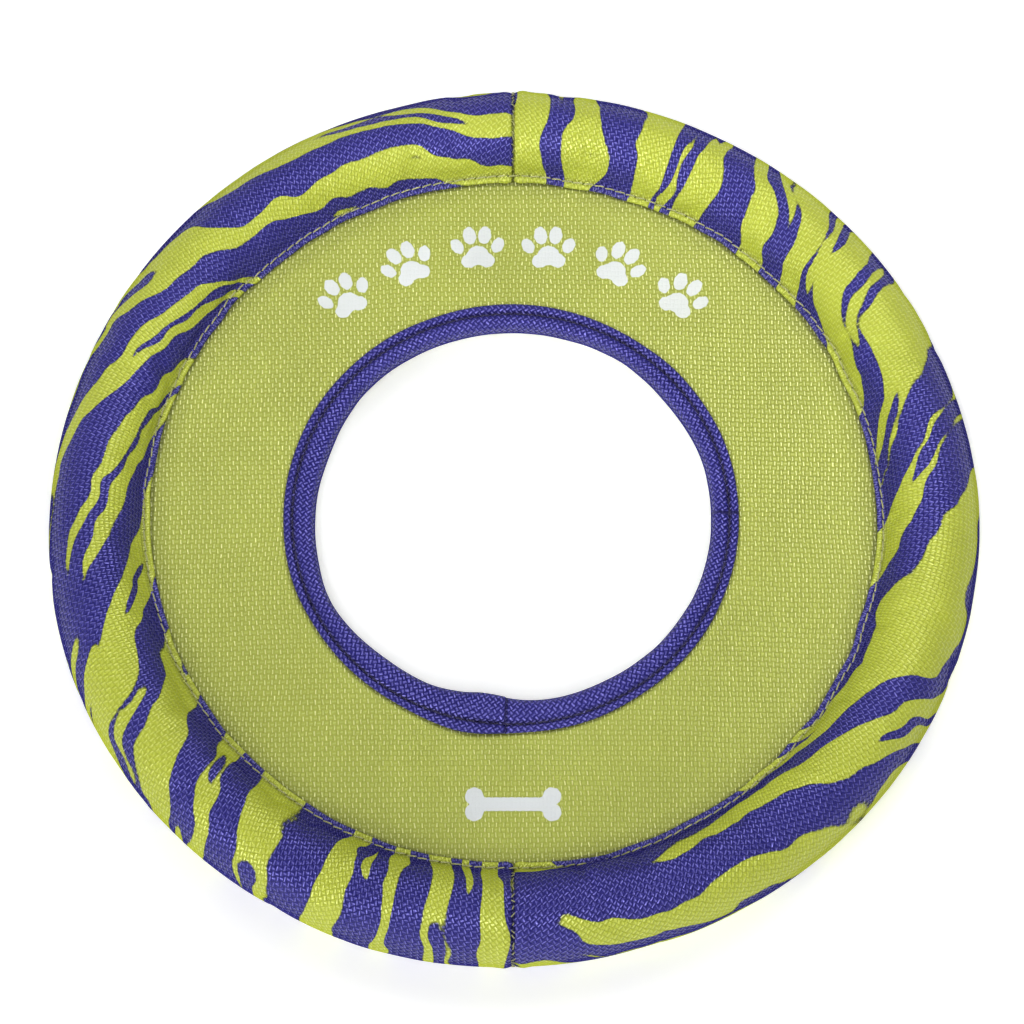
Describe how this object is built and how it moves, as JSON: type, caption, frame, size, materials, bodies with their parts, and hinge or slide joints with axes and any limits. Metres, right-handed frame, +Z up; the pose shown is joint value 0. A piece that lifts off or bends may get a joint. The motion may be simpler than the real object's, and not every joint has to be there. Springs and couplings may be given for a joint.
{
  "type": "flying ring",
  "caption": "Soft flying ring for dogs: a fabric-covered foam rim round a padded fabric panel with a bound central hole, for throwing and fetching.",
  "frame": {"origin": "centre of the ring on the plane that it rests on", "axes": "+Z up through the hole; +Y from the centre to the cross seam at the back, above the printed motifs; +X to the right"},
  "size_m": [0.25, 0.25, 0.0246],
  "materials": {
    "rim_print": "heavy plain-weave polyester printed with lime and indigo stripes, slight sheen",
    "panel_fabric": "heavy plain-weave polyester in lime, slight sheen; the upper face has matt white printed motifs",
    "binding_tape": "woven polyester tape in indigo",
    "rim_thread": "pale lime bonded polyester thread",
    "binding_thread": "navy bonded polyester thread",
    "rod_foam": "white closed-cell polyethylene foam",
    "sheet_foam": "white closed-cell polyethylene foam sheet"
  },
  "bodies": {
    "root": {"core_ring": "rod_foam", "cover_left": "rim_print", "cover_right": "rim_print", "panel_core": "sheet_foam", "panel_top": "panel_fabric", "panel_bottom": "panel_fabric", "hole_binding": "binding_tape", "rim_needle_thread": "rim_thread", "rim_bobbin_thread": "rim_thread", "binding_needle_thread": "binding_thread", "binding_bobbin_thread": "binding_thread", "seam_thread_back": "rim_thread", "seam_thread_front": "rim_thread"}
  },
  "joints": []
}
